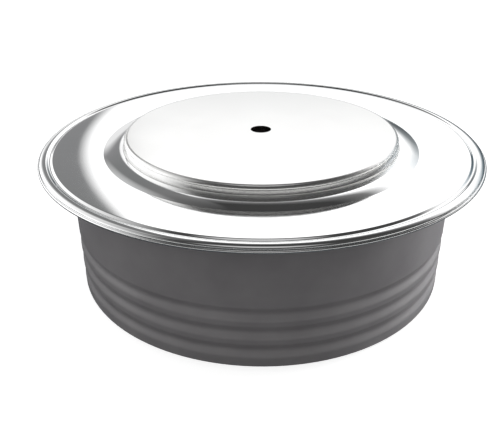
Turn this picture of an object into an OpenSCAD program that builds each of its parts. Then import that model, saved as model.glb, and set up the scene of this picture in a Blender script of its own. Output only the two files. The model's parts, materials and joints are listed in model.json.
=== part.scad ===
// Disc thyristor: a press-pack power semiconductor in a sealed ceramic capsule.
// The anode face is at z = 0, the cathode face is on top, and the terminals point to +Y.

/* [Capsule] */
// Height between the two contact faces
capsule_height = 26; // [24:0.5:34]
// Thickness of the sheets that seal the capsule
sheet = 0.45; // [0.35:0.05:0.6]
// Gap that brazing fills round a pole or a tube
braze_fit = 0.05; // [0.03:0.01:0.08]

/* [Poles] */
// Diameter of the contact boss on each pole
contact_diameter = 47; // [40:0.5:60]
// Radius of the rounded edge of a contact face
lip_radius = 0.7; // [0.4:0.1:0.8]
// Width of the shoulder round each contact boss
shoulder_step = 3.3; // [2.8:0.1:5]
// Thickness of each shoulder
shoulder_thickness = 2.5; // [1.5:0.1:3]
// Chamfer on the poles' inner edges
pole_chamfer = 0.4; // [0.2:0.1:0.6]
// Height of the ceramic's lower end above the anode face
anode_stand = 0.9; // [0.9:0.1:2.5]
// Diameter of the centring hole in each contact face
centring_hole_diameter = 3.5; // [2:0.1:5]
// Depth of the centring holes
centring_hole_depth = 1.8; // [1:0.1:2.5]

/* [Lid] */
// Height of the cathode face above the rim
face_rise = 1.85; // [1.4:0.05:3]
// Depth of the lid's dish below the rim
lid_dish = 0.4; // [0.3:0.05:0.6]
// Height of the lid's ledge round the pole above the dish
ledge_rise = 0.55; // [0.3:0.05:0.7]
// Width of the flat part of that ledge
ledge_width = 0.6; // [0.5:0.05:1]
// Width of the ledge's round, which steepens down to a crease at the dish
ledge_round = 2.8; // [2.2:0.1:3]
// Height of the seat on the pole's shoulder that the ledge is brazed to
seat_height = 1; // [0.8:0.1:1.4]
// Overhang of the rim beyond the ceramic ring
rim_overhang = 5; // [4:0.1:8]
// Width of the land where the two sheets are welded
weld_land = 2.5; // [2.4:0.1:3]
// Width of the steep inner side of the groove that the weld leaves in the lid
weld_groove_inner = 0.55; // [0.4:0.05:0.7]
// Width of that groove's gentle outer side, which climbs to a bead
weld_groove_outer = 0.65; // [0.5:0.05:0.9]
// Depth of that groove below the rim's top
weld_groove_depth = 0.2; // [0.1:0.05:0.25]
// Height of the bead above the rim's top
bead_rise = 0.04; // [0.02:0.02:0.1]
// Distance from the lid's edge to the weld ring's edge
lid_setback = 0.3; // [0.2:0.05:0.6]
// Height of the upright part of the lid's rounded edge
lid_edge = 0.1; // [0.05:0.05:0.2]

/* [Ceramic] */
// Gap between the poles' shoulders and the ceramic ring
ceramic_gap = 1.7; // [1.2:0.1:2.2]
// Wall of the ceramic ring
ceramic_wall = 4; // [3:0.1:6]
// Radius of the ceramic ring's outer corners
ceramic_corner = 0.5; // [0.2:0.1:0.8]
// Number of grooves round the ceramic ring
groove_count = 3; // [1:1:3]
// Distance from one groove to the next
groove_pitch = 3.2; // [2.8:0.1:3.4]
// Width of a groove
groove_width = 2.7; // [1.5:0.1:2.7]
// Depth of a groove
groove_depth = 0.45; // [0.2:0.05:0.8]
// Height of the lowest groove above the ceramic's lower end
groove_start = 3; // [2.4:0.1:3.4]
// Distance from the ceramic's edge in to the anode flange's edge
flange_inset = 0.9; // [0.8:0.1:2]

/* [Wafer] */
// Thickness of the silicon wafer
wafer_thickness = 0.6; // [0.4:0.05:1]
// Bevel of the wafer's edge
wafer_bevel = 0.6; // [0.3:0.1:1]
// Margin from the anode disc's edge to the wafer's edge
wafer_margin = 0.5; // [0.3:0.1:1]
// Thickness of the molybdenum disc on the anode side
anode_disc_thickness = 2; // [1.5:0.1:3]
// Thickness of the molybdenum disc on the cathode side
cathode_disc_thickness = 1.5; // [1:0.1:2.5]
// Margin from the wafer's edge to the cathode disc's edge
cathode_margin = 2; // [1.8:0.1:3]
// Thickness of each silver foil
foil_thickness = 0.2; // [0.1:0.05:0.3]
// Width of the seal's lip on top of the wafer
seal_lip = 1.4; // [1.2:0.1:1.6]
// Height of that lip above the wafer
seal_rise = 0.6; // [0.4:0.1:0.8]
// Width of the seal outside the anode disc
seal_wall = 0.8; // [0.5:0.1:1.5]
// Wall of the ring that centres the wafer
centring_wall = 3; // [2.8:0.1:3.6]
// Free play of the centring ring inside the ceramic
centring_play = 0.3; // [0.1:0.05:0.4]
// Free play of the anode disc inside the centring ring
disc_play = 0.2; // [0.1:0.05:0.4]
// Depth to which the centring ring grips the anode disc
centring_grip = 1; // [0.6:0.1:1.2]
// Space between the centring ring and the seal above it
seal_play = 0.1; // [0.05:0.05:0.2]

/* [Gate] */
// Diameter of the bore for the gate contact
gate_bore_diameter = 7; // [6:0.2:9]
// Copper left between that bore and the centring hole
pole_web = 1.8; // [1:0.1:2.4]
// Free play of the gate sleeve in its bore
sleeve_fit = 0.1; // [0.05:0.01:0.2]
// Wall of the gate sleeve
sleeve_wall = 1; // [0.6:0.1:1.2]
// Free play of pin and spring in the gate sleeve
pin_play = 0.2; // [0.1:0.05:0.3]
// Diameter of the pin's tip
pin_tip_diameter = 1.8; // [1:0.1:2.2]
// Height of the pin's head
pin_head_height = 1.8; // [1.4:0.1:2.2]
// Space between the pin's head and the cathode disc's foil
pin_head_gap = 0.4; // [0.2:0.1:0.8]
// Length of the stem inside the spring
pin_stem_length = 1.6; // [1:0.1:2]
// Diameter of that stem
pin_stem_diameter = 2; // [1.2:0.1:2.2]
// Space round the pin in the hole of the cathode disc
pin_clearance = 1.1; // [0.6:0.1:1.3]
// Diameter of the spring's wire
spring_wire = 0.44; // [0.3:0.02:0.46]
// Turns of the spring
spring_turns = 4; // [3:0.5:4]
// Diameter of the gate lead
lead_diameter = 0.8; // [0.5:0.1:1]
// Wall of the insulating sleeve on the lead
lead_sleeve_wall = 0.5; // [0.3:0.1:0.6]
// Free play of the lead in its holes
lead_play = 0.05; // [0.03:0.01:0.1]
// Free play of the lead's sleeve in the pole's slot
slot_play = 0.2; // [0.1:0.05:0.3]
// Depth to which the lead enters the pin's head
lead_entry = 1.2; // [0.8:0.1:1.4]

/* [Terminals] */
// Wall of the gate tube
tube_wall = 0.6; // [0.4:0.1:0.8]
// Length of the gate tube inside the ceramic ring
tube_inside = 0.7; // [0.4:0.1:1.5]
// Length of the gate tube outside the ceramic ring
tube_outside = 2.5; // [1.5:0.1:4]
// Length of the plug that closes the tube
plug_length = 1.2; // [0.8:0.1:1.6]
// Thickness of the collar on that plug
plug_collar = 0.4; // [0.3:0.1:0.8]
// Width of the gate tab
gate_tab_width = 2.8; // [2:0.1:4]
// Width of the auxiliary cathode tab
cathode_tab_width = 4.8; // [2.8:0.1:6.3]
// Thickness of both tabs
tab_thickness = 0.5; // [0.4:0.1:0.8]
// Length of the gate tab
gate_tab_length = 5; // [3:0.5:9]
// Length of the cathode tab below the rim
cathode_tab_length = 6.5; // [4:0.5:9]
// Chamfer on the tabs' corners
tab_chamfer = 0.6; // [0.2:0.1:0.9]
// Inner bend radius of the cathode tab
tab_bend = 0.3; // [0.2:0.1:0.5]
// Distance from the rim's edge in to the cathode tab
tab_setback = 0.6; // [0.3:0.1:0.8]
// Angle from the gate tab round to the cathode tab
tab_angle = 25; // [18:1:60]

/* [Hidden] */
$fn = 96;
arc_steps = 10;
cut_over = 1;

// Radii, from the contact boss outwards
contact_r = contact_diameter / 2;
shoulder_r = contact_r + shoulder_step;
ceramic_bore_r = shoulder_r + ceramic_gap;
ceramic_r = ceramic_bore_r + ceramic_wall;
rim_r = ceramic_r + rim_overhang;
land_r = rim_r - weld_land;
collar_r = contact_r + braze_fit;
centring_hole_r = centring_hole_diameter / 2;

// Heights, from the cathode face downwards
rim_top = capsule_height - face_rise;
rim_seam = rim_top - sheet;
rim_bottom = rim_seam - sheet;
dish_top = rim_top - lid_dish;
ledge_top = dish_top + ledge_rise;
cathode_seat = ledge_top - sheet;
cathode_shoulder = cathode_seat - seat_height;

// Radii of the lid's ledge and of its dish
ledge_r = collar_r + ledge_width;
dish_r = ledge_r + ledge_round;

// The weld ring lies on the ceramic's upper end, just under the lid
ring_inset = 0.3;
ring_bore_r = ceramic_bore_r + ring_inset;
ring_play = 0.1;
lid_share = (ring_bore_r - dish_r) / (land_r - dish_r);
lid_under_ring = dish_top + lid_dish * sin(90 * lid_share) - sheet;
ceramic_top = lid_under_ring - ring_play - sheet;
joggle_start_r = ceramic_r + ring_inset;
joggle_run = land_r - joggle_start_r;
joggle_rise = rim_bottom - ceramic_top;
joggle_angle = 2 * atan(joggle_rise / joggle_run);
joggle_radius = joggle_run / sin(joggle_angle) / 2;

// The stack between the poles, at mid-height
stack = anode_disc_thickness + wafer_thickness + cathode_disc_thickness + 2 * foil_thickness;
anode_inner = (capsule_height - stack) / 2;
anode_disc_bottom = anode_inner + foil_thickness;
wafer_bottom = anode_disc_bottom + anode_disc_thickness;
wafer_top = wafer_bottom + wafer_thickness;
cathode_disc_top = wafer_top + cathode_disc_thickness;
cathode_inner = cathode_disc_top + foil_thickness;
centring_r = ceramic_bore_r - centring_play;
centring_bore_r = centring_r - centring_wall;
anode_disc_r = centring_bore_r - disc_play;
wafer_r = anode_disc_r - wafer_margin;
cathode_disc_r = wafer_r - cathode_margin;
centring_bottom = anode_stand + shoulder_thickness;
centring_top = anode_disc_bottom + centring_grip;

// The gate contact in the cathode pole's bore
gate_bore_r = gate_bore_diameter / 2;
gate_bore_top = capsule_height - centring_hole_depth - pole_web;
sleeve_r = gate_bore_r - sleeve_fit;
sleeve_bore_r = sleeve_r - sleeve_wall;
sleeve_roof = gate_bore_top - sleeve_wall;
head_r = sleeve_bore_r - pin_play;
head_bottom = cathode_inner + pin_head_gap;
head_top = head_bottom + pin_head_height;
pin_hole_r = pin_tip_diameter / 2 + pin_clearance;
wire_r = spring_wire / 2;
spring_r = head_r - wire_r;
spring_length = sleeve_roof - head_top;
spring_sides = 6;
rings_per_turn = 12;

// The gate lead and its tube
lead_z = (head_bottom + head_top) / 2;
lead_r = lead_diameter / 2;
lead_bore_r = lead_r + lead_play;
lead_sleeve_r = lead_bore_r + lead_sleeve_wall;
lead_start = head_r - lead_entry;
slot_half = lead_sleeve_r + slot_play;
tube_r = lead_sleeve_r + tube_wall - lead_play;
tube_bore_r = tube_r - tube_wall;
tube_start = ceramic_bore_r - tube_inside;
tube_end = ceramic_r + tube_outside;
plug_start = tube_end - plug_length;

// Points of an arc about a centre
function arc(center, radius, from, to) =
    [for (i = [0:arc_steps])
        let (a = from + (to - from) * i / arc_steps)
        center + radius * [cos(a), sin(a)]];

// Points of a soft step between two levels, half a wave of a cosine
function soft_step(start, end) =
    [for (i = [1:arc_steps])
        let (s = i / arc_steps)
        [start[0] + (end[0] - start[0]) * s, start[1] + (end[1] - start[1]) * (1 - cos(180 * s)) / 2]];

// Points of a round that leaves its start level and steepens to its end, a quarter wave of a cosine
function brow(start, end) =
    [for (i = [1:arc_steps])
        let (s = i / arc_steps)
        [start[0] + (end[0] - start[0]) * s, end[1] + (start[1] - end[1]) * cos(90 * s)]];

// Points of a round that starts steep and comes level at its end, a quarter wave of a sine
function rise(start, end) =
    [for (i = [1:arc_steps])
        let (s = i / arc_steps)
        [start[0] + (end[0] - start[0]) * s, start[1] + (end[1] - start[1]) * sin(90 * s)]];

// Points of a quarter of an ellipse that leaves its start level and falls upright to its end
function round_edge(start, end) =
    [for (i = [1:arc_steps])
        let (a = 90 * i / arc_steps)
        [start[0] + (end[0] - start[0]) * sin(a), end[1] + (start[1] - end[1]) * cos(a)]];

// Ring between two radii, from one height up to another
module ring(bore, radius, bottom, top) {
    rotate_extrude()
        translate([bore, bottom])
            square([radius - bore, top - bottom]);
}

// Rod along +Y at the gate lead's height
module lead_rod(radius, from, to) {
    translate([0, from, lead_z])
        rotate([-90, 0, 0])
            cylinder(r = radius, h = to - from);
}

// Slot from the pole's axis to its side, open towards the wafer
module lead_slot() {
    translate([-slot_half, 0, cathode_inner - cut_over])
        cube([2 * slot_half, shoulder_r, lead_z + slot_half - cathode_inner + cut_over]);
}

// Turned pole with its contact face at z = 0, its shoulder at a height and its inner face on top
module pole_blank(stand, body_r, height) {
    shoulder_end = stand + shoulder_thickness;
    difference() {
        rotate_extrude()
            polygon(concat(
                [[0, 0]],
                arc([contact_r - lip_radius, lip_radius], lip_radius, -90, 0),
                [
                    [contact_r, stand],
                    [shoulder_r, stand],
                    [shoulder_r, shoulder_end - pole_chamfer],
                    [shoulder_r - pole_chamfer, shoulder_end],
                    [body_r, shoulder_end],
                    [body_r, height - pole_chamfer],
                    [body_r - pole_chamfer, height],
                    [0, height]
                ]
            ));
        translate([0, 0, -cut_over])
            cylinder(r = centring_hole_r, h = centring_hole_depth + cut_over);
    }
}

module cathode_pole() {
    color("lightgray")
        difference() {
            union() {
                translate([0, 0, capsule_height])
                    mirror([0, 0, 1])
                        pole_blank(capsule_height - cathode_shoulder, cathode_disc_r,
                            capsule_height - cathode_inner);
                ring(contact_r - cut_over, ledge_r, cathode_shoulder - cut_over, cathode_seat);
            }
            translate([0, 0, cathode_inner - cut_over])
                cylinder(r = gate_bore_r, h = gate_bore_top - cathode_inner + cut_over);
            lead_slot();
        }
}

module anode_pole() {
    color("lightgray")
        pole_blank(anode_stand, anode_disc_r, anode_inner);
}

// Dished sheet: ledge round the pole, dish, rise to the rim, weld groove, bead and a rounded edge
module cathode_lid() {
    groove = [land_r + weld_groove_inner, rim_top - weld_groove_depth];
    bead = [groove[0] + weld_groove_outer, rim_top + bead_rise];
    edge_r = rim_r - lid_setback;
    color("silver")
        rotate_extrude()
            polygon(concat(
                [[collar_r, ledge_top], [ledge_r, ledge_top]],
                brow([ledge_r, ledge_top], [dish_r, dish_top]),
                rise([dish_r, dish_top], [land_r, rim_top]),
                soft_step([land_r, rim_top], groove),
                soft_step(groove, bead),
                round_edge(bead, [edge_r, rim_seam + lid_edge]),
                [[edge_r, rim_seam], [land_r, rim_seam]],
                brow([land_r, rim_seam], [dish_r, dish_top - sheet]),
                rise([dish_r, dish_top - sheet], [ledge_r, cathode_seat]),
                [[collar_r, cathode_seat]]
            ));
}

// Sheet ring with a joggle: brazed to the ceramic inside, welded to the lid outside
module weld_ring() {
    lower_center = [joggle_start_r, ceramic_top + sheet / 2 + joggle_radius];
    upper_center = [land_r, rim_bottom + sheet / 2 - joggle_radius];
    outer_bend = joggle_radius + sheet / 2;
    inner_bend = joggle_radius - sheet / 2;
    edge_center = [rim_r - sheet / 2, rim_bottom + sheet / 2];
    color("gainsboro")
        rotate_extrude()
            polygon(concat(
                [[ring_bore_r, ceramic_top]],
                arc(lower_center, outer_bend, 270, 270 + joggle_angle),
                arc(upper_center, inner_bend, 90 + joggle_angle, 90),
                arc(edge_center, sheet / 2, -90, 90),
                arc(upper_center, outer_bend, 90, 90 + joggle_angle),
                arc(lower_center, inner_bend, 270 + joggle_angle, 270),
                [[ring_bore_r, ceramic_top + sheet]]
            ));
}

// Ceramic ring with soft round grooves, each one wave of a cosine, and a hole for the gate tube
module ceramic_ring() {
    corner_r = ceramic_r - ceramic_corner;
    color("dimgray")
        difference() {
            rotate_extrude()
                polygon(concat(
                    [[ceramic_bore_r, anode_stand]],
                    arc([corner_r, anode_stand + ceramic_corner], ceramic_corner, -90, 0),
                    [for (g = [0:groove_count - 1])
                        for (i = [0:2 * arc_steps])
                            let (s = i / (2 * arc_steps) - 0.5)
                            [
                                ceramic_r - groove_depth * (1 + cos(360 * s)) / 2,
                                anode_stand + groove_start + groove_pitch * g + groove_width * s
                            ]],
                    arc([corner_r, ceramic_top - ceramic_corner], ceramic_corner, 0, 90),
                    [[ceramic_bore_r, ceramic_top]]
                ));
            lead_rod(tube_r + braze_fit, ceramic_bore_r - cut_over, ceramic_r + cut_over);
        }
}

module anode_flange() {
    color("silver")
        ring(collar_r, ceramic_r - flange_inset, anode_stand - sheet, anode_stand);
}

module silicon_wafer() {
    color("slategray")
        rotate_extrude()
            polygon([
                [0, wafer_bottom],
                [wafer_r, wafer_bottom],
                [wafer_r - wafer_bevel, wafer_top],
                [0, wafer_top]
            ]);
}

module anode_disc() {
    color("darkgray")
        translate([0, 0, anode_disc_bottom])
            cylinder(r = anode_disc_r, h = anode_disc_thickness);
}

module cathode_disc() {
    color("darkgray")
        ring(pin_hole_r, cathode_disc_r, wafer_top, cathode_disc_top);
}

module anode_foil() {
    color("whitesmoke")
        translate([0, 0, anode_inner])
            cylinder(r = anode_disc_r, h = foil_thickness);
}

module cathode_foil() {
    color("whitesmoke")
        ring(pin_hole_r, cathode_disc_r, cathode_disc_top, cathode_inner);
}

// Rubber round the edge of wafer and anode disc, with a lip on top of the wafer
module edge_seal() {
    seal_r = anode_disc_r + seal_wall;
    seal_bottom = centring_top + seal_play;
    seal_top = wafer_top + seal_rise;
    color("saddlebrown")
        rotate_extrude()
            polygon(concat(
                [
                    [wafer_r - seal_lip, wafer_top],
                    [wafer_r - wafer_bevel, wafer_top],
                    [wafer_r, wafer_bottom],
                    [anode_disc_r, wafer_bottom],
                    [anode_disc_r, seal_bottom],
                    [seal_r, seal_bottom]
                ],
                arc([seal_r - seal_rise, seal_top - seal_rise], seal_rise, 0, 90),
                [[wafer_r - seal_lip, seal_top]]
            ));
}

module centring_ring() {
    color("ivory")
        ring(centring_bore_r, centring_r, centring_bottom, centring_top);
}

// Cup with its roof at the bore's end and a notch for the lead
module gate_sleeve() {
    color("white")
        difference() {
            translate([0, 0, cathode_inner])
                cylinder(r = sleeve_r, h = gate_bore_top - cathode_inner);
            translate([0, 0, cathode_inner - cut_over])
                cylinder(r = sleeve_bore_r, h = sleeve_roof - cathode_inner + cut_over);
            lead_slot();
        }
}

// Helix with a quarter turn laid flat at each end
module gate_spring() {
    flat_turns = 0.25;
    last_ring = spring_turns * rings_per_turn;
    climb = spring_length - spring_wire;
    rings = [for (k = [0:last_ring])
        let (
            turn = k / rings_per_turn,
            share = (turn - flat_turns) / (spring_turns - 2 * flat_turns),
            z = head_top + wire_r + climb * min(1, max(0, share))
        )
        for (s = [0:spring_sides - 1])
            let (
                a = 360 * s / spring_sides,
                r = spring_r + wire_r * cos(a)
            )
            [r * cos(360 * turn), r * sin(360 * turn), z + wire_r * sin(a)]];
    sides = [for (k = [0:last_ring - 1])
        for (s = [0:spring_sides - 1])
            let (
                low = k * spring_sides,
                high = low + spring_sides,
                next = (s + 1) % spring_sides
            )
            [low + s, high + s, high + next, low + next]];
    first_cap = [for (s = [0:spring_sides - 1]) s];
    last_cap = [for (s = [spring_sides - 1:-1:0]) last_ring * spring_sides + s];
    color("gold")
        polyhedron(rings, concat(sides, [first_cap, last_cap]));
}

// Tip on the wafer, head with a cross hole for the lead, stem inside the spring
module gate_pin() {
    color("silver")
        difference() {
            union() {
                translate([0, 0, wafer_top])
                    cylinder(d = pin_tip_diameter, h = head_bottom - wafer_top);
                translate([0, 0, head_bottom])
                    cylinder(r = head_r, h = pin_head_height);
                translate([0, 0, head_top])
                    cylinder(d = pin_stem_diameter, h = pin_stem_length);
            }
            lead_rod(lead_bore_r, lead_start, head_r + cut_over);
        }
}

module gate_lead() {
    color("orange")
        lead_rod(lead_r, lead_start, plug_start);
}

module lead_sleeve() {
    color("white")
        difference() {
            lead_rod(lead_sleeve_r, gate_bore_r, tube_start);
            lead_rod(lead_bore_r, gate_bore_r - cut_over, tube_start + cut_over);
        }
}

module gate_tube() {
    color("silver")
        difference() {
            lead_rod(tube_r, tube_start, tube_end);
            lead_rod(tube_bore_r, tube_start - cut_over, tube_end + cut_over);
        }
}

// Flat outline of a tab that starts on the x axis, with its far corners cut off
module tab_outline(width, length) {
    half = width / 2;
    polygon([
        [-half, 0],
        [half, 0],
        [half, length - tab_chamfer],
        [half - tab_chamfer, length],
        [tab_chamfer - half, length],
        [-half, length - tab_chamfer]
    ]);
}

// Plug in the tube's end, collar against the tube, and the tab
module gate_terminal() {
    color("silver")
        union() {
            lead_rod(tube_bore_r - lead_play, plug_start, tube_end);
            lead_rod(tube_r, tube_end, tube_end + plug_collar);
            translate([0, tube_end + plug_collar, lead_z - tab_thickness / 2])
                linear_extrude(tab_thickness)
                    tab_outline(gate_tab_width, gate_tab_length);
        }
}

// Strip bent down at a right angle: its foot under the weld land, its tab beside the ceramic
module cathode_terminal() {
    tab_r = rim_r - tab_setback;
    bend_r = tab_bend + tab_thickness;
    bend_center = [tab_r - bend_r, rim_bottom - bend_r];
    tab_bottom = rim_bottom - cathode_tab_length;
    color("silver")
        rotate([0, 0, 90 + tab_angle])
            intersection() {
                rotate([90, 0, 0])
                    linear_extrude(cathode_tab_width, center = true)
                        polygon(concat(
                            [[land_r, rim_bottom - tab_thickness], [land_r, rim_bottom]],
                            arc(bend_center, bend_r, 90, 0),
                            [[tab_r, tab_bottom], [tab_r - tab_thickness, tab_bottom]],
                            arc(bend_center, tab_bend, 0, 90)
                        ));
                translate([land_r, 0, rim_bottom])
                    rotate([-90, 0, -90])
                        linear_extrude(weld_land)
                            tab_outline(cathode_tab_width, cathode_tab_length);
            }
}

cathode_pole();
cathode_lid();
weld_ring();
ceramic_ring();
anode_flange();
anode_pole();
silicon_wafer();
anode_disc();
cathode_disc();
anode_foil();
cathode_foil();
edge_seal();
centring_ring();
gate_sleeve();
gate_spring();
gate_pin();
gate_lead();
lead_sleeve();
gate_tube();
gate_terminal();
cathode_terminal();
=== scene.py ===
"""Looks of the disc thyristor: bright dished lid, satin poles, grooved grey ceramic, tinned tabs."""
import json
import math

import bpy
import numpy as np
from mathutils import Matrix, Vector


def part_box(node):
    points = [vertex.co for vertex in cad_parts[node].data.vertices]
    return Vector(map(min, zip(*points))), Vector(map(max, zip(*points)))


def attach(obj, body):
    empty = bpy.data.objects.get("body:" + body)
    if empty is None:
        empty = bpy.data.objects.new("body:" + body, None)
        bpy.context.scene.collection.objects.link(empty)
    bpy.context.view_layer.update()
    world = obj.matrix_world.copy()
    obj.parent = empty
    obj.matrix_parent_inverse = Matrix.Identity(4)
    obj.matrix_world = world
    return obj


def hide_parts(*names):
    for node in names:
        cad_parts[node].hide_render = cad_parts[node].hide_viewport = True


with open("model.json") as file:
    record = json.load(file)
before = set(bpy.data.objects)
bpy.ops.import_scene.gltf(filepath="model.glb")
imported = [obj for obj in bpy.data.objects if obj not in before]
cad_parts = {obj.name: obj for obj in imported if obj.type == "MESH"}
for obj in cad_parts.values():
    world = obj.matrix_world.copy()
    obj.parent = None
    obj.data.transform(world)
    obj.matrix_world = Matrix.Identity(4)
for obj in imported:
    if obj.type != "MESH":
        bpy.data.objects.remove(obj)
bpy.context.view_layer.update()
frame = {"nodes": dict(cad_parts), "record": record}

MM = 0.001

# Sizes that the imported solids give
CERAMIC_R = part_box("ceramic_ring")[1].x
CERAMIC_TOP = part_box("ceramic_ring")[1].z
RIM_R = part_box("weld_ring")[1].x
RIM_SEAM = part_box("weld_ring")[1].z
LID_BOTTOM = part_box("cathode_lid")[0].z
LEDGE_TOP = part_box("cathode_lid")[1].z
FLANGE_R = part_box("anode_flange")[1].x
FLANGE_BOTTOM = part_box("anode_flange")[0].z
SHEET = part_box("anode_flange")[1].z - FLANGE_BOTTOM

# Sizes of the sheets' forms
CONTACT_R = 23.5 * MM
HOLE_R = 1.75 * MM
BRAZE_FIT = 0.05 * MM
LEDGE_WIDTH = 0.6 * MM
LEDGE_ROUND = 2.8 * MM
WELD_LAND = 2.5 * MM
GROOVE_INNER = 0.55 * MM
GROOVE_OUTER = 0.65 * MM
GROOVE_DEPTH = 0.2 * MM
BEAD_RISE = 0.04 * MM
LID_SETBACK = 0.3 * MM
LID_EDGE = 0.1 * MM
RING_BORE_R = 28.8 * MM
RING_INSET = 0.3 * MM
EDGE_ROUND = 0.05 * MM
FILLET = 0.22 * MM

SHEET_BORE_R = CONTACT_R + BRAZE_FIT
RIM_TOP = RIM_SEAM + SHEET
RIM_BOTTOM = RIM_SEAM - SHEET
DISH_TOP = LID_BOTTOM + SHEET
LAND_R = RIM_R - WELD_LAND

# How finely the shapes are stepped
ROUND_STEPS = 288
EDGE_STEPS = 16
BEAD_STEPS = 20
GROOVE_STEPS = 16
DISH_STEPS = 36
BROW_STEPS = 30
BELOW_STEPS = 20
RING_BEND_STEPS = 12
RIM_ROUND_STEPS = 24
FILLET_STEPS = 10
CORNER_STEPS = 4
FLAT_SHARES = (0.02, 0.5, 0.98)
APART = 0.1 * MM
SAME_POINT = 0.0001 * MM
SHARP_ANGLE = math.radians(9)


# Shapes

def arc(center, radius, start, end, steps):
    """Points at center + radius * (cos a, sin a), with the angle a in degrees stepped from start to end."""
    angle = np.radians(np.linspace(start, end, steps + 1))
    return np.array(center) + radius * np.stack([np.cos(angle), np.sin(angle)], axis=1)


def straight(start, end):
    """Points between two ends, set close to both so that the shading of a flat stretch stays flat."""
    share = np.array(FLAT_SHARES)[:, None]
    return (1 - share) * np.array(start) + share * np.array(end)


def joined(*stretches):
    """One outline from its stretches, with a flat stretch filled in wherever two of them lie apart."""
    points = []
    for stretch, following in zip(stretches, stretches[1:] + stretches[:1]):
        points.append(stretch)
        if np.linalg.norm(stretch[-1] - following[0]) > APART:
            points.append(straight(stretch[-1], following[0]))
    outline = np.concatenate(points)
    step = np.linalg.norm(outline - np.roll(outline, 1, axis=0), axis=1)
    return outline[step > SAME_POINT]


def corner(at, before, after):
    """A small round at a corner, from the direction it is reached by to the one it leaves by.
    The points are a quadratic curve from one leg to the other, pulled towards the corner."""
    at = np.array(at)
    share = np.linspace(0, 1, CORNER_STEPS + 1)[:, None]
    first = at - EDGE_ROUND * np.array(before)
    last = at + EDGE_ROUND * np.array(after)
    return (1 - share) ** 2 * first + 2 * share * (1 - share) * at + share ** 2 * last


def soft_step(start, end, steps):
    """Half a wave of a cosine: the height goes from one level to the other by (1 - cos(pi s)) / 2."""
    share = np.linspace(0, 1, steps + 1)
    r = start[0] + (end[0] - start[0]) * share
    z = start[1] + (end[1] - start[1]) * (1 - np.cos(np.pi * share)) / 2
    return np.stack([r, z], axis=1)


def brow(start, end, steps):
    """Quarter of a wave of a cosine: the height leaves its start level and steepens to its end.
    Its share of the way down is 1 - cos(pi s / 2)."""
    share = np.linspace(0, 1, steps + 1)
    r = start[0] + (end[0] - start[0]) * share
    z = end[1] + (start[1] - end[1]) * np.cos(np.pi / 2 * share)
    return np.stack([r, z], axis=1)


def round_edge(low, high, steps):
    """Quarter of an ellipse that leaves its low end upright and reaches its high end level."""
    angle = np.linspace(0, np.pi / 2, steps + 1)
    r = high[0] + (low[0] - high[0]) * np.cos(angle)
    z = low[1] + (high[1] - low[1]) * np.sin(angle)
    return np.stack([r, z], axis=1)


def grid_mesh(name, points, quads):
    """Mesh object from a table of points and a table of four-sided faces, smooth but for its creases."""
    mesh = bpy.data.meshes.new(name)
    mesh.vertices.add(len(points))
    mesh.vertices.foreach_set("co", points.astype(np.float32).ravel())
    mesh.loops.add(quads.size)
    mesh.loops.foreach_set("vertex_index", quads.astype(np.int32).ravel())
    mesh.polygons.add(len(quads))
    mesh.polygons.foreach_set("loop_start", np.arange(0, quads.size, 4, dtype=np.int32))
    mesh.update(calc_edges=True)
    mesh.validate()
    mesh.polygons.foreach_set("use_smooth", np.ones(len(mesh.polygons), dtype=bool))
    mesh.set_sharp_from_angle(angle=SHARP_ANGLE)
    piece = bpy.data.objects.new(name, mesh)
    bpy.context.scene.collection.objects.link(piece)
    return piece


def revolve(name, outline, steps=ROUND_STEPS):
    """Ring whose point at angle a and outline point (r, z) is (r cos a, r sin a, z).
    The outline runs anticlockwise in the r, z plane, so that the faces look outwards."""
    angle = np.linspace(0, 2 * np.pi, steps, endpoint=False)[:, None]
    r, z = outline[:, 0], outline[:, 1]
    points = np.stack([r * np.cos(angle), r * np.sin(angle), z + 0 * angle], axis=-1)
    index = np.arange(points.shape[0] * points.shape[1]).reshape(points.shape[:2])
    turned = np.roll(index, -1, axis=0)
    quads = np.stack([index, turned, np.roll(turned, -1, axis=1), np.roll(index, -1, axis=1)], axis=-1)
    return grid_mesh(name, points.reshape(-1, 3), quads.reshape(-1, 4))


def lid_outline():
    """Dished sheet from the outside in: edge, bead, groove, rise, dish, brow and ledge, and back below."""
    under = np.array([0.0, -SHEET])
    ledge = np.array([SHEET_BORE_R + LEDGE_WIDTH, LEDGE_TOP])
    dish = np.array([ledge[0] + LEDGE_ROUND, DISH_TOP])
    rim = np.array([LAND_R, RIM_TOP])
    groove = rim + np.array([GROOVE_INNER, -GROOVE_DEPTH])
    bead = np.array([groove[0] + GROOVE_OUTER, RIM_TOP + BEAD_RISE])
    edge_r = RIM_R - LID_SETBACK
    return joined(
        corner((edge_r, RIM_SEAM), (1, 0), (0, 1)),
        round_edge((edge_r, RIM_SEAM + LID_EDGE), bead, EDGE_STEPS),
        soft_step(bead, groove, BEAD_STEPS),
        soft_step(groove, rim, GROOVE_STEPS),
        brow(rim, dish, DISH_STEPS),
        brow(ledge, dish, BROW_STEPS)[::-1],
        corner((SHEET_BORE_R, LEDGE_TOP), (-1, 0), (0, -1)),
        corner((SHEET_BORE_R, LEDGE_TOP - SHEET), (0, -1), (1, 0)),
        brow(ledge + under, dish + under, BELOW_STEPS),
        brow(rim + under, dish + under, BELOW_STEPS)[::-1],
    )


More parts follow.
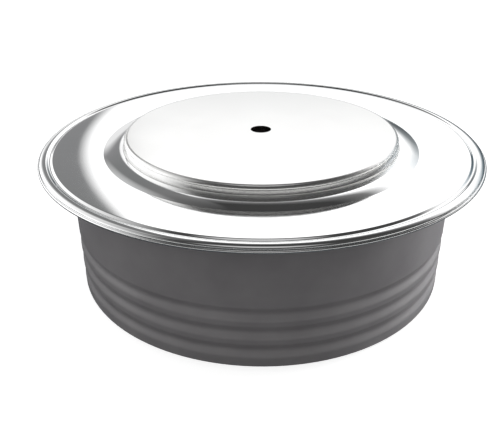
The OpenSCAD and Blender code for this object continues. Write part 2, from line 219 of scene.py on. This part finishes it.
def weld_ring_outline():
    """Sheet on the ceramic's end: it steps up to the weld land by two equal arcs and ends in a half round.
    Each arc turns by twice the slope of the step's chord, and its radius is half the run over the sine."""
    step_start = CERAMIC_R + RING_INSET
    step_run = LAND_R - step_start
    step_angle = 2 * math.degrees(math.atan((RIM_BOTTOM - CERAMIC_TOP) / step_run))
    step_radius = step_run / math.sin(math.radians(step_angle)) / 2
    lower = (step_start, CERAMIC_TOP + SHEET / 2 + step_radius)
    upper = (LAND_R, RIM_BOTTOM + SHEET / 2 - step_radius)
    wide, tight = step_radius + SHEET / 2, step_radius - SHEET / 2
    return joined(
        np.array([(RING_BORE_R, CERAMIC_TOP)]),
        arc(lower, wide, 270, 270 + step_angle, RING_BEND_STEPS),
        arc(upper, tight, 90 + step_angle, 90, RING_BEND_STEPS),
        arc((RIM_R - SHEET / 2, RIM_BOTTOM + SHEET / 2), SHEET / 2, -90, 90, RIM_ROUND_STEPS),
        arc(upper, wide, 90, 90 + step_angle, RING_BEND_STEPS),
        arc(lower, tight, 270 + step_angle, 270, RING_BEND_STEPS),
        np.array([(RING_BORE_R, CERAMIC_TOP + SHEET)]),
    )


def flange_outline():
    """Flat sheet ring under the ceramic, with its four edges broken."""
    top = FLANGE_BOTTOM + SHEET
    return joined(
        corner((SHEET_BORE_R, FLANGE_BOTTOM), (0, -1), (1, 0)),
        corner((FLANGE_R, FLANGE_BOTTOM), (1, 0), (0, 1)),
        corner((FLANGE_R, top), (0, 1), (-1, 0)),
        corner((SHEET_BORE_R, top), (-1, 0), (0, -1)),
    )


def fillet_outline(wall_r, foot_z, size):
    """Braze in a corner: a hollow quarter round outside a wall at a radius and above a foot at a height."""
    hollow = arc((wall_r + size, foot_z + size), size, 180, 270, FILLET_STEPS)
    return np.concatenate([hollow, [(wall_r, foot_z)]])[::-1]


# Materials

DRIFT_SCALE = 60.0
DRIFT_REACH = 0.06 * MM
BROAD_RING_SCALE = 450.0
SMUDGE_FROM = 0.35
SMUDGE_FULL = 0.75
SCUFF_TURN = math.radians(35)
SCUFF_STRETCH = 14.0
SCUFF_SCALE = 240.0
SCUFF_FROM = 0.68
SCUFF_FULL = 0.8
PATCH_FROM = 0.3
PATCH_FULL = 0.7
# Painted shade: the dark colour put inside the centring holes
PAINTED_HOLE_SHADE = (0.2, 0.19, 0.19, 1.0)
PLATE_RELIEF = 0.0008 * MM
LAPPED_RELIEF = 0.0006 * MM
CERAMIC_RELIEF = 0.006 * MM
METAL_RELIEF = 0.003 * MM
MOULDED_RELIEF = 0.008 * MM


def socket_value(node, name, value):
    """Sets a named input of a node to a fixed value."""
    node.inputs[name].default_value = value


def node_group(name, inputs, outputs):
    """Empty shader group with named inputs and outputs, and its two end nodes."""
    group = bpy.data.node_groups.new(name, "ShaderNodeTree")
    for label, kind, value in inputs:
        socket = group.interface.new_socket(label, in_out="INPUT", socket_type=kind)
        if value is not None:
            socket.default_value = value
    for label, kind in outputs:
        group.interface.new_socket(label, in_out="OUTPUT", socket_type=kind)
    return group, group.nodes.new("NodeGroupInput"), group.nodes.new("NodeGroupOutput")


def math_node(tree, operation, first, second=None):
    """Math node on sockets or numbers, and its result."""
    node = tree.nodes.new("ShaderNodeMath")
    node.operation = operation
    for place, value in enumerate((first, second)):
        if value is None:
            continue
        if isinstance(value, (int, float)):
            node.inputs[place].default_value = value
        else:
            tree.links.new(value, node.inputs[place])
    return node.outputs[0]


def noise_node(tree, vector, scale, detail, roughness=0.5):
    """Noise on a vector, from 0 to 1."""
    node = tree.nodes.new("ShaderNodeTexNoise")
    socket_value(node, "Detail", detail)
    socket_value(node, "Roughness", roughness)
    tree.links.new(vector, node.inputs["Vector"])
    if isinstance(scale, (int, float)):
        socket_value(node, "Scale", scale)
    else:
        tree.links.new(scale, node.inputs["Scale"])
    return node.outputs[0]


def spread(tree, value, low, high, to_low, to_high):
    """Value taken from one range to another and held at its ends."""
    node = tree.nodes.new("ShaderNodeMapRange")
    node.clamp = True
    for name, number in zip(("From Min", "From Max", "To Min", "To Max"), (low, high, to_low, to_high)):
        if isinstance(number, (int, float)):
            socket_value(node, name, number)
        else:
            tree.links.new(number, node.inputs[name])
    tree.links.new(value, node.inputs["Value"])
    return node.outputs[0]


def axis_distance(tree, vector):
    """Distance of a point from the part's axis: the root of x squared plus y squared."""
    split = tree.nodes.new("ShaderNodeSeparateXYZ")
    tree.links.new(vector, split.inputs[0])
    across = math_node(tree, "POWER", split.outputs["X"], 2.0)
    along = math_node(tree, "POWER", split.outputs["Y"], 2.0)
    return math_node(tree, "SQRT", math_node(tree, "ADD", across, along))


def blend(tree, share, first, second):
    """Colour that goes from the first to the second by a share from 0 to 1."""
    node = tree.nodes.new("ShaderNodeMix")
    node.data_type = "RGBA"
    tree.links.new(share, node.inputs["Factor"])
    tree.links.new(first, node.inputs[6])
    tree.links.new(second, node.inputs[7])
    return node.outputs[2]


def turning_marks_group():
    """Fine rings round the axis: noise read along the distance from the axis, with a slow drift."""
    group, start, end = node_group(
        "turning_marks",
        [("Vector", "NodeSocketVector", None), ("Rings per metre", "NodeSocketFloat", 4000.0)],
        [("Height", "NodeSocketFloat"), ("Shade", "NodeSocketFloat")],
    )
    radius = axis_distance(group, start.outputs["Vector"])
    drift = noise_node(group, start.outputs["Vector"], DRIFT_SCALE, 2.0)
    wander = math_node(group, "MULTIPLY", drift, DRIFT_REACH)
    line = group.nodes.new("ShaderNodeCombineXYZ")
    group.links.new(math_node(group, "ADD", radius, wander), line.inputs["X"])
    fine = noise_node(group, line.outputs[0], start.outputs["Rings per metre"], 3.0, 0.6)
    broad = noise_node(group, line.outputs[0], BROAD_RING_SCALE, 2.0)
    group.links.new(fine, end.inputs["Height"])
    both = math_node(group, "MULTIPLY", math_node(group, "ADD", fine, broad), 0.5)
    group.links.new(both, end.inputs["Shade"])
    return group


def handling_marks_group():
    """Faint smudges and short scuffs: broad noise, and stretched noise cut to its peaks."""
    group, start, end = node_group(
        "handling_marks",
        [("Vector", "NodeSocketVector", None), ("Smudge scale", "NodeSocketFloat", 90.0)],
        [("Smudge", "NodeSocketFloat"), ("Scuff", "NodeSocketFloat")],
    )
    broad = noise_node(group, start.outputs["Vector"], start.outputs["Smudge scale"], 4.0, 0.6)
    group.links.new(spread(group, broad, SMUDGE_FROM, SMUDGE_FULL, 0.0, 1.0), end.inputs["Smudge"])
    turned = group.nodes.new("ShaderNodeMapping")
    socket_value(turned, "Rotation", (0.0, 0.0, SCUFF_TURN))
    socket_value(turned, "Scale", (1.0, SCUFF_STRETCH, 1.0))
    group.links.new(start.outputs["Vector"], turned.inputs["Vector"])
    streak = noise_node(group, turned.outputs[0], SCUFF_SCALE, 2.0)
    group.links.new(spread(group, streak, SCUFF_FROM, SCUFF_FULL, 0.0, 1.0), end.inputs["Scuff"])
    return group


def fine_grain_group():
    """Fine even grain with larger soft patches: two noises of far apart sizes."""
    group, start, end = node_group(
        "fine_grain",
        [("Vector", "NodeSocketVector", None), ("Grain scale", "NodeSocketFloat", 3000.0),
         ("Patch scale", "NodeSocketFloat", 120.0)],
        [("Grain", "NodeSocketFloat"), ("Patch", "NodeSocketFloat")],
    )
    grain = noise_node(group, start.outputs["Vector"], start.outputs["Grain scale"], 3.0, 0.6)
    patch = noise_node(group, start.outputs["Vector"], start.outputs["Patch scale"], 3.0, 0.55)
    group.links.new(grain, end.inputs["Grain"])
    group.links.new(spread(group, patch, PATCH_FROM, PATCH_FULL, 0.0, 1.0), end.inputs["Patch"])
    return group


GROUPS = {
    "turning_marks": turning_marks_group(),
    "handling_marks": handling_marks_group(),
    "fine_grain": fine_grain_group(),
}


def start_material(name, metallic, coat=0.0, coat_roughness=0.2):
    """New material with a Principled shader: gives the material, its tree, the shader and the piece's
    coordinates."""
    material = bpy.data.materials.new(name)
    material.use_nodes = True
    tree = material.node_tree
    shader = tree.nodes["Principled BSDF"]
    socket_value(shader, "Metallic", metallic)
    socket_value(shader, "Coat Weight", coat)
    socket_value(shader, "Coat Roughness", coat_roughness)
    place = tree.nodes.new("ShaderNodeTexCoord")
    return material, tree, shader, place.outputs["Object"]


def use_group(tree, name, vector, **values):
    """Node of a shared group fed by the piece's coordinates, with its own values."""
    node = tree.nodes.new("ShaderNodeGroup")
    node.node_tree = GROUPS[name]
    tree.links.new(vector, node.inputs["Vector"])
    for label, value in values.items():
        socket_value(node, label.replace("_", " "), value)
    return node


def tint(tree, shader, mask, dark, light):
    """Base colour between two shades, by a mask from 0 to 1."""
    ramp = tree.nodes.new("ShaderNodeValToRGB")
    ramp.color_ramp.elements[0].color = (*dark, 1.0)
    ramp.color_ramp.elements[1].color = (*light, 1.0)
    tree.links.new(mask, ramp.inputs["Fac"])
    tree.links.new(ramp.outputs["Color"], shader.inputs["Base Color"])


def rough(tree, shader, mask, low, high):
    """Roughness between two values, by a mask from 0 to 1."""
    tree.links.new(spread(tree, mask, 0.0, 1.0, low, high), shader.inputs["Roughness"])


def bump(tree, shader, height, depth):
    """Relief of a depth in metres on the surface."""
    node = tree.nodes.new("ShaderNodeBump")
    socket_value(node, "Strength", 1.0)
    socket_value(node, "Distance", depth)
    tree.links.new(height, node.inputs["Height"])
    tree.links.new(node.outputs["Normal"], shader.inputs["Normal"])


def paint_hole_shade(tree, shader, place):
    """Painted shade: darkens the base colour inside the centring holes, within their radius."""
    shade = spread(tree, axis_distance(tree, place), HOLE_R, HOLE_R + EDGE_ROUND, 1.0, 0.0)
    shade_colour = tree.nodes.new("ShaderNodeRGB")
    shade_colour.outputs[0].default_value = PAINTED_HOLE_SHADE
    plate = shader.inputs["Base Color"].links[0].from_socket
    tree.links.new(blend(tree, shade, plate, shade_colour.outputs[0]), shader.inputs["Base Color"])


def satin_nickel():
    """Turned copper under satin nickel plate: rings round the axis, faint handling marks and painted shade
    in the centring hole.
    """
    material, tree, shader, place = start_material("satin_nickel", metallic=1.0)
    marks = use_group(tree, "turning_marks", place, Rings_per_metre=5200.0)
    handled = use_group(tree, "handling_marks", place, Smudge_scale=75.0)
    tint(tree, shader, marks.outputs["Shade"], dark=(0.80, 0.795, 0.785), light=(0.88, 0.88, 0.875))
    # Painted shade: the base colour turns dark inside the centring hole
    paint_hole_shade(tree, shader, place)
    both = math_node(tree, "ADD", handled.outputs["Smudge"], marks.outputs["Shade"])
    rough(tree, shader, math_node(tree, "MULTIPLY", both, 0.5), low=0.18, high=0.27)
    bump(tree, shader, marks.outputs["Height"], PLATE_RELIEF)
    return material


def bright_nickel():
    """Bright nickel on drawn sheet: mirror-like, with smudges that dull it a little."""
    material, tree, shader, place = start_material("bright_nickel", metallic=1.0)
    handled = use_group(tree, "handling_marks", place, Smudge_scale=60.0)
    marks = use_group(tree, "turning_marks", place, Rings_per_metre=1500.0)
    tint(tree, shader, handled.outputs["Smudge"], dark=(0.86, 0.865, 0.87), light=(0.90, 0.90, 0.90))
    dulled = math_node(tree, "MAXIMUM", handled.outputs["Smudge"], handled.outputs["Scuff"])
    rough(tree, shader, dulled, low=0.05, high=0.1)
    bump(tree, shader, marks.outputs["Height"], PLATE_RELIEF)
    return material


def grey_ceramic():
    """Grey ceramic under a thin satin glaze: fine grain and soft cloudy patches."""
    material, tree, shader, place = start_material(
        "grey_ceramic", metallic=0.0, coat=0.25, coat_roughness=0.3
    )
    grain = use_group(tree, "fine_grain", place, Grain_scale=2600.0, Patch_scale=140.0)
    tint(tree, shader, grain.outputs["Patch"], dark=(0.26, 0.25, 0.26), light=(0.31, 0.30, 0.31))
    rough(tree, shader, grain.outputs["Grain"], low=0.38, high=0.5)
    bump(tree, shader, grain.outputs["Grain"], CERAMIC_RELIEF)
    return material


def dull_metal(name, dark, light, low, high):
    """Metal with an even grain and cloudy patches, as tinned, lapped or plated pieces have."""
    material, tree, shader, place = start_material(name, metallic=1.0)
    grain = use_group(tree, "fine_grain", place, Grain_scale=2400.0, Patch_scale=300.0)
    tint(tree, shader, grain.outputs["Patch"], dark, light)
    rough(tree, shader, grain.outputs["Grain"], low, high)
    bump(tree, shader, grain.outputs["Grain"], METAL_RELIEF)
    return material


def moulded(name, dark, light, low, high):
    """Plastic or rubber with a fine grain and faint patches."""
    material, tree, shader, place = start_material(name, metallic=0.0)
    grain = use_group(tree, "fine_grain", place, Grain_scale=1800.0, Patch_scale=160.0)
    tint(tree, shader, grain.outputs["Patch"], dark, light)
    rough(tree, shader, grain.outputs["Grain"], low, high)
    bump(tree, shader, grain.outputs["Grain"], MOULDED_RELIEF)
    return material


def polished_silicon():
    """Dark polished wafer: faint rings that lapping leaves."""
    material, tree, shader, place = start_material("polished_silicon", metallic=1.0)
    marks = use_group(tree, "turning_marks", place, Rings_per_metre=2500.0)
    tint(tree, shader, marks.outputs["Shade"], dark=(0.22, 0.23, 0.26), light=(0.28, 0.29, 0.32))
    rough(tree, shader, marks.outputs["Shade"], low=0.08, high=0.16)
    bump(tree, shader, marks.outputs["Height"], LAPPED_RELIEF)
    return material


# The pieces

FINISHES = {
    "nickel_pole": satin_nickel(),
    "bright_sheet": bright_nickel(),
    "grey_ceramic": grey_ceramic(),
    "silicon": polished_silicon(),
    "molybdenum": dull_metal("lapped_molybdenum", (0.46, 0.46, 0.47), (0.55, 0.55, 0.56), 0.35, 0.5),
    "silver_foil": dull_metal("rolled_silver", (0.88, 0.87, 0.84), (0.95, 0.94, 0.92), 0.2, 0.32),
    "seal_rubber": moulded("cast_rubber", (0.30, 0.11, 0.07), (0.38, 0.16, 0.10), 0.55, 0.7),
    "white_plastic": moulded("waxy_plastic", (0.84, 0.84, 0.80), (0.90, 0.90, 0.87), 0.4, 0.55),
    "spring_bronze": dull_metal("drawn_bronze", (0.66, 0.45, 0.22), (0.75, 0.53, 0.29), 0.25, 0.36),
    "contact_silver": dull_metal("plated_silver", (0.84, 0.83, 0.80), (0.91, 0.90, 0.88), 0.22, 0.34),
    "lead_copper": dull_metal("drawn_copper", (0.70, 0.38, 0.24), (0.80, 0.47, 0.32), 0.25, 0.38),
    "terminal_tin": dull_metal("hot_tin", (0.62, 0.62, 0.61), (0.74, 0.74, 0.73), 0.28, 0.42),
}

for part in frame["record"]["subparts"]:
    node = frame["nodes"][part["node"]]
    node.data.materials.clear()
    node.data.materials.append(FINISHES[part["material_slot"]])


def dress(piece, slot, stands_for=None):
    """Gives a new piece its finish and its body, and hides the solid it stands for."""
    piece.data.materials.append(FINISHES[slot])
    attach(piece, "root")
    if stands_for:
        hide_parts(stands_for)
    return piece


dress(revolve("lid_sheet", lid_outline()), "bright_sheet", "cathode_lid")
dress(revolve("weld_ring_sheet", weld_ring_outline()), "bright_sheet", "weld_ring")
dress(revolve("anode_flange_sheet", flange_outline()), "bright_sheet", "anode_flange")
dress(revolve("collar_braze", fillet_outline(CONTACT_R, LEDGE_TOP, FILLET)), "terminal_tin")


# Floor, light and camera

FLOOR_SIZE = 3.0
FLOOR_DROP = 0.02 * MM
FLOOR_GLOW = 0.86
FLOOR_IN_MIRROR = (0.11, 0.125, 0.135, 1.0)
FLOOR_BOUNCE = (0.26, 0.25, 0.26, 1.0)
BACK_WALL = (
    (-30, (0.05, 0.06, 0.07)),
    (2, (0.1, 0.11, 0.12)),
    (10, (0.28, 0.3, 0.31)),
    (14, (0.65, 0.67, 0.68)),
    (18, (1.3, 1.3, 1.3)),
    (37, (1.5, 1.5, 1.5)),
    (44, (0.2, 0.2, 0.2)),
    (52, (0.05, 0.05, 0.05)),
)
BLUE_WALL = (
    (-30, (0.04, 0.05, 0.06)),
    (8, (0.09, 0.12, 0.14)),
    (16, (0.2, 0.25, 0.28)),
    (22, (0.8, 0.85, 0.88)),
    (26, (1.15, 1.15, 1.15)),
    (37, (1.3, 1.3, 1.3)),
    (44, (0.2, 0.2, 0.2)),
    (52, (0.05, 0.05, 0.05)),
)
RIGHT_LIGHT = (
    (-30, (0.1, 0.1, 0.1)),
    (-3, (0.5, 0.5, 0.5)),
    (3, (16.0, 16.0, 16.0)),
    (20, (16.0, 16.0, 16.0)),
    (34, (1.0, 1.0, 1.0)),
    (60, (0.06, 0.06, 0.06)),
)
DIM_WALL = (
    (-30, (0.1, 0.1, 0.1)),
    (0, (0.9, 0.9, 0.9)),
    (12, (0.9, 0.9, 0.9)),
    (18, (0.27, 0.27, 0.275)),
    (26, (0.22, 0.225, 0.225)),
    (45, (0.2, 0.2, 0.2)),
    (60, (0.06, 0.06, 0.06)),
)
SIDE_WALL = (
    (-30, (0.1, 0.1, 0.1)),
    (0, (1.5, 1.5, 1.5)),
    (20, (1.5, 1.5, 1.5)),
    (45, (0.8, 0.8, 0.8)),
    (65, (0.06, 0.06, 0.06)),
)
SIDE_LIGHT = (
    (-30, (0.1, 0.1, 0.1)),
    (0, (2.1, 2.1, 2.1)),
    (20, (2.1, 2.1, 2.1)),
    (45, (0.8, 0.8, 0.8)),
    (65, (0.06, 0.06, 0.06)),
)
FRONT_WALL = (
    (-30, (0.2, 0.2, 0.2)),
    (0, (0.5, 0.5, 0.49)),
    (25, (0.5, 0.5, 0.49)),
    (45, (0.2, 0.2, 0.2)),
    (75, (0.06, 0.06, 0.06)),
)
MIRRORED_FRONT = (
    (-30, (0.05, 0.05, 0.05)),
    (-6, (0.06, 0.06, 0.06)),
    (-1, (1.4, 1.4, 1.37)),
    (6, (1.4, 1.4, 1.37)),
    (12, (0.1, 0.1, 0.1)),
    (45, (0.07, 0.07, 0.07)),
    (75, (0.05, 0.05, 0.05)),
)
CEILING = (
    (70, (0.05, 0.05, 0.05)),
    (80, (0.6, 0.6, 0.6)),
)
CEILING_EDGE = 69.0
CEILING_BLUR = 3.0
FRONT_FROM = -110.0
DIM_FROM = -33.0
BACK_FROM = -14.1
BLUE_FROM = 27.0
LIGHT_FROM = 45.0
RIGHT_FROM = 62.0
FRONT_AGAIN = 78.0
WALL_BLUR = 15.0
DIM_BLUR = 5.0
BACK_BLUR = 1.1
CAMERA_PLACE = (0.0, -102.78 * MM, 62.7 * MM)
CAMERA_YAW = math.radians(1.08)
CAMERA_PITCH = math.radians(28.22)
CAMERA_ROLL = math.radians(-0.2)
CAMERA_LENS = 44.84
CAMERA_SENSOR = 36.0
CAMERA_NEAR = 5 * MM


def make_floor():
    """Pale square floor, seen from above only: white to the eye, grey to scattered light, and dim in what
    the metal mirrors."""
    half = FLOOR_SIZE / 2
    points = np.array([(-half, -half), (half, -half), (half, half), (-half, half)])
    points = np.column_stack([points, np.full(4, -FLOOR_DROP)])
    floor = grid_mesh("floor", points, np.array([(0, 1, 2, 3)]))
    material, tree, shader, place = start_material("pale_floor", metallic=0.0)
    grain = use_group(tree, "fine_grain", place, Grain_scale=400.0, Patch_scale=9.0)
    tint(tree, shader, grain.outputs["Patch"], dark=(0.48, 0.48, 0.48), light=(0.52, 0.52, 0.52))
    socket_value(shader, "Roughness", 0.9)
    socket_value(shader, "Specular IOR Level", 0.0)
    socket_value(shader, "Emission Color", (1.0, 1.0, 1.0, 1.0))
    socket_value(shader, "Emission Strength", FLOOR_GLOW)
    dim = tree.nodes.new("ShaderNodeBsdfDiffuse")
    socket_value(dim, "Color", FLOOR_IN_MIRROR)
    bounce = tree.nodes.new("ShaderNodeBsdfDiffuse")
    socket_value(bounce, "Color", FLOOR_BOUNCE)
    clear = tree.nodes.new("ShaderNodeBsdfTransparent")
    ray = tree.nodes.new("ShaderNodeLightPath")
    side = tree.nodes.new("ShaderNodeNewGeometry")
    unseen = tree.nodes.new("ShaderNodeMixShader")
    tree.links.new(ray.outputs["Is Diffuse Ray"], unseen.inputs[0])
    tree.links.new(dim.outputs[0], unseen.inputs[1])
    tree.links.new(bounce.outputs[0], unseen.inputs[2])
    seen = tree.nodes.new("ShaderNodeMixShader")
    tree.links.new(ray.outputs["Is Camera Ray"], seen.inputs[0])
    tree.links.new(unseen.outputs[0], seen.inputs[1])
    tree.links.new(shader.outputs[0], seen.inputs[2])
    mixed = tree.nodes.new("ShaderNodeMixShader")
    tree.links.new(side.outputs["Backfacing"], mixed.inputs[0])
    tree.links.new(seen.outputs[0], mixed.inputs[1])
    tree.links.new(clear.outputs[0], mixed.inputs[2])
    tree.links.new(mixed.outputs[0], tree.nodes["Material Output"].inputs["Surface"])
    floor.data.materials.append(material)


def wall(tree, elevation, stops):
    """Colours of a studio wall by the elevation in degrees, blended evenly from one stop to the next."""
    low, high = stops[0][0], stops[-1][0]
    ramp = tree.nodes.new("ShaderNodeValToRGB")
    elements = ramp.color_ramp.elements
    elements[0].color = (*stops[0][1], 1.0)
    elements[1].color = (*stops[-1][1], 1.0)
    for degrees, colour in stops[1:-1]:
        elements.new((degrees - low) / (high - low)).color = (*colour, 1.0)
    tree.links.new(spread(tree, elevation, low, high, 0.0, 1.0), ramp.inputs["Fac"])
    return ramp.outputs["Color"]


def make_surroundings():
    """Soft studio light by direction: a bright wall behind, bluish on its right, a strong light to the
    right, a dim screen on the left, a paler wall further left, a soft glow in front and a grey ceiling.
    The metal mirrors a dark front with one low bright strip, a plainer side and no strong light."""
    world = bpy.data.worlds.new("studio")
    bpy.context.scene.world = world
    world.use_nodes = True
    tree = world.node_tree
    place = tree.nodes.new("ShaderNodeTexCoord")
    split = tree.nodes.new("ShaderNodeSeparateXYZ")
    tree.links.new(place.outputs["Generated"], split.inputs[0])
    turn = math_node(tree, "DEGREES", math_node(tree, "ARCTAN2", split.outputs["X"], split.outputs["Y"]))
    rise = math_node(tree, "DEGREES", math_node(tree, "ARCSINE", split.outputs["Z"]))
    in_mirror = tree.nodes.new("ShaderNodeLightPath").outputs["Is Glossy Ray"]
    mirrored = wall(tree, rise, MIRRORED_FRONT)
    front = blend(tree, in_mirror, wall(tree, rise, FRONT_WALL), mirrored)
    side = blend(tree, in_mirror, wall(tree, rise, SIDE_LIGHT), wall(tree, rise, SIDE_WALL))
    light = wall(tree, rise, RIGHT_LIGHT)
    blue = wall(tree, rise, BLUE_WALL)
    around = front
    for colour, edge, blur in (
        (side, FRONT_FROM, WALL_BLUR),
        (wall(tree, rise, DIM_WALL), DIM_FROM, DIM_BLUR),
        (wall(tree, rise, BACK_WALL), BACK_FROM, BACK_BLUR),
        (blue, BLUE_FROM, DIM_BLUR),
        (blend(tree, in_mirror, light, blue), LIGHT_FROM, DIM_BLUR),
        (blend(tree, in_mirror, light, mirrored), RIGHT_FROM, WALL_BLUR),
        (front, FRONT_AGAIN, WALL_BLUR),
    ):
        around = blend(tree, spread(tree, turn, edge - blur, edge + blur, 0.0, 1.0), around, colour)
    overhead = spread(tree, rise, CEILING_EDGE - CEILING_BLUR, CEILING_EDGE + CEILING_BLUR, 0.0, 1.0)
    around = blend(tree, overhead, around, wall(tree, rise, CEILING))
    tree.links.new(around, tree.nodes["Background"].inputs["Color"])


def make_camera():
    """Camera at the photograph's place: turned left by the yaw, down by the pitch and rolled."""
    data = bpy.data.cameras.new("camera")
    data.lens = CAMERA_LENS
    data.sensor_width = CAMERA_SENSOR
    data.clip_start = CAMERA_NEAR
    camera = bpy.data.objects.new("camera", data)
    turn = Matrix.Rotation(CAMERA_YAW, 4, "Z") @ Matrix.Rotation(math.pi / 2 - CAMERA_PITCH, 4, "X")
    camera.matrix_world = Matrix.Translation(CAMERA_PLACE) @ turn @ Matrix.Rotation(CAMERA_ROLL, 4, "Z")
    bpy.context.scene.collection.objects.link(camera)
    bpy.context.scene.camera = camera


make_floor()
make_surroundings()
make_camera()
bpy.context.scene.view_settings.view_transform = "Standard"
